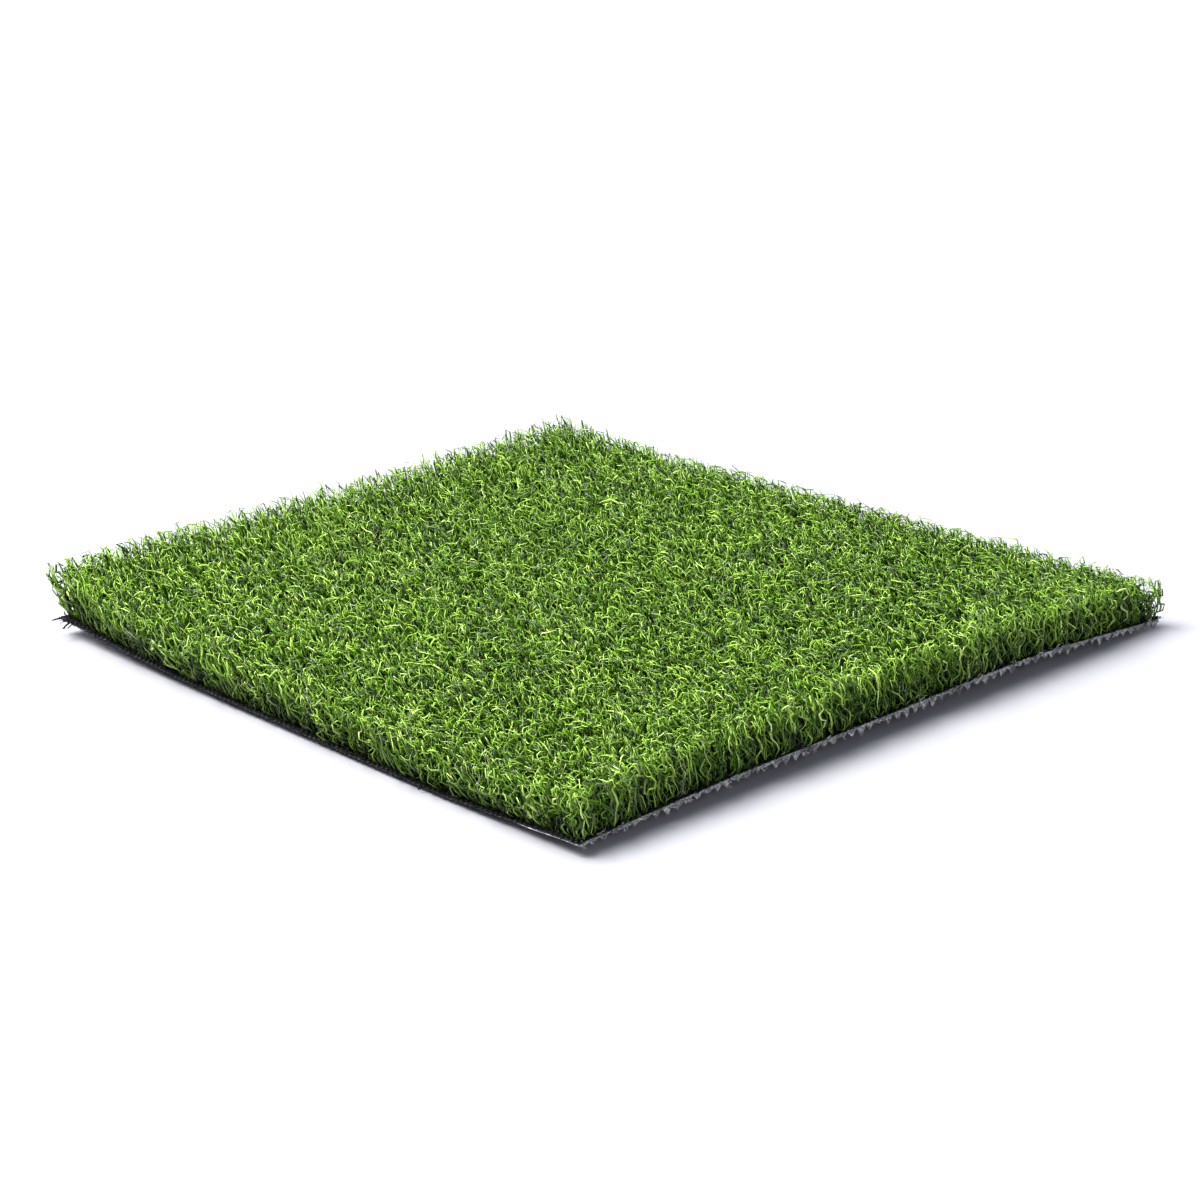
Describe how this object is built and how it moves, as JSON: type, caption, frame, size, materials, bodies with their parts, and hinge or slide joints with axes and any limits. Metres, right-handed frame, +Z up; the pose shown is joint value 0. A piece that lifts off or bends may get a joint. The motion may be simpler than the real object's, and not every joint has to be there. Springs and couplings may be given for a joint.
{
  "type": "artificial turf mat",
  "caption": "Square piece of tufted artificial golf turf: curly green pile stitched in rows through a black woven backing, with a ridged grey coating underneath.",
  "frame": {"origin": "centre of the square footprint, on the floor plane that the coating's ridges rest on", "axes": "+Z up through the pile; +X along the tuft rows; +Y across the rows, from one row to the next"},
  "size_m": [0.3048, 0.3048, 0.021],
  "materials": {
    "latex_coating": "matt, slightly rough",
    "woven_backing": "woven flat tapes, low sheen",
    "turf_yarn": "curly cut pile, semi-gloss fibres"
  },
  "bodies": {
    "root": {"latex_coating": "latex_coating", "woven_backing": "woven_backing", "pile_rows_01": "turf_yarn", "pile_rows_02": "turf_yarn", "pile_rows_03": "turf_yarn", "pile_rows_04": "turf_yarn", "pile_rows_05": "turf_yarn", "pile_rows_06": "turf_yarn", "pile_rows_07": "turf_yarn", "pile_rows_08": "turf_yarn", "pile_rows_09": "turf_yarn", "pile_rows_10": "turf_yarn", "pile_rows_11": "turf_yarn", "pile_rows_12": "turf_yarn", "pile_rows_13": "turf_yarn", "pile_rows_14": "turf_yarn", "pile_rows_15": "turf_yarn", "pile_rows_16": "turf_yarn", "pile_rows_17": "turf_yarn", "pile_rows_18": "turf_yarn", "pile_rows_19": "turf_yarn", "pile_rows_20": "turf_yarn", "pile_rows_21": "turf_yarn", "pile_rows_22": "turf_yarn", "pile_rows_23": "turf_yarn", "pile_rows_24": "turf_yarn", "pile_rows_25": "turf_yarn", "pile_rows_26": "turf_yarn", "pile_rows_27": "turf_yarn", "pile_rows_28": "turf_yarn", "pile_rows_29": "turf_yarn", "pile_rows_30": "turf_yarn", "pile_rows_31": "turf_yarn", "pile_rows_32": "turf_yarn"}
  },
  "joints": []
}
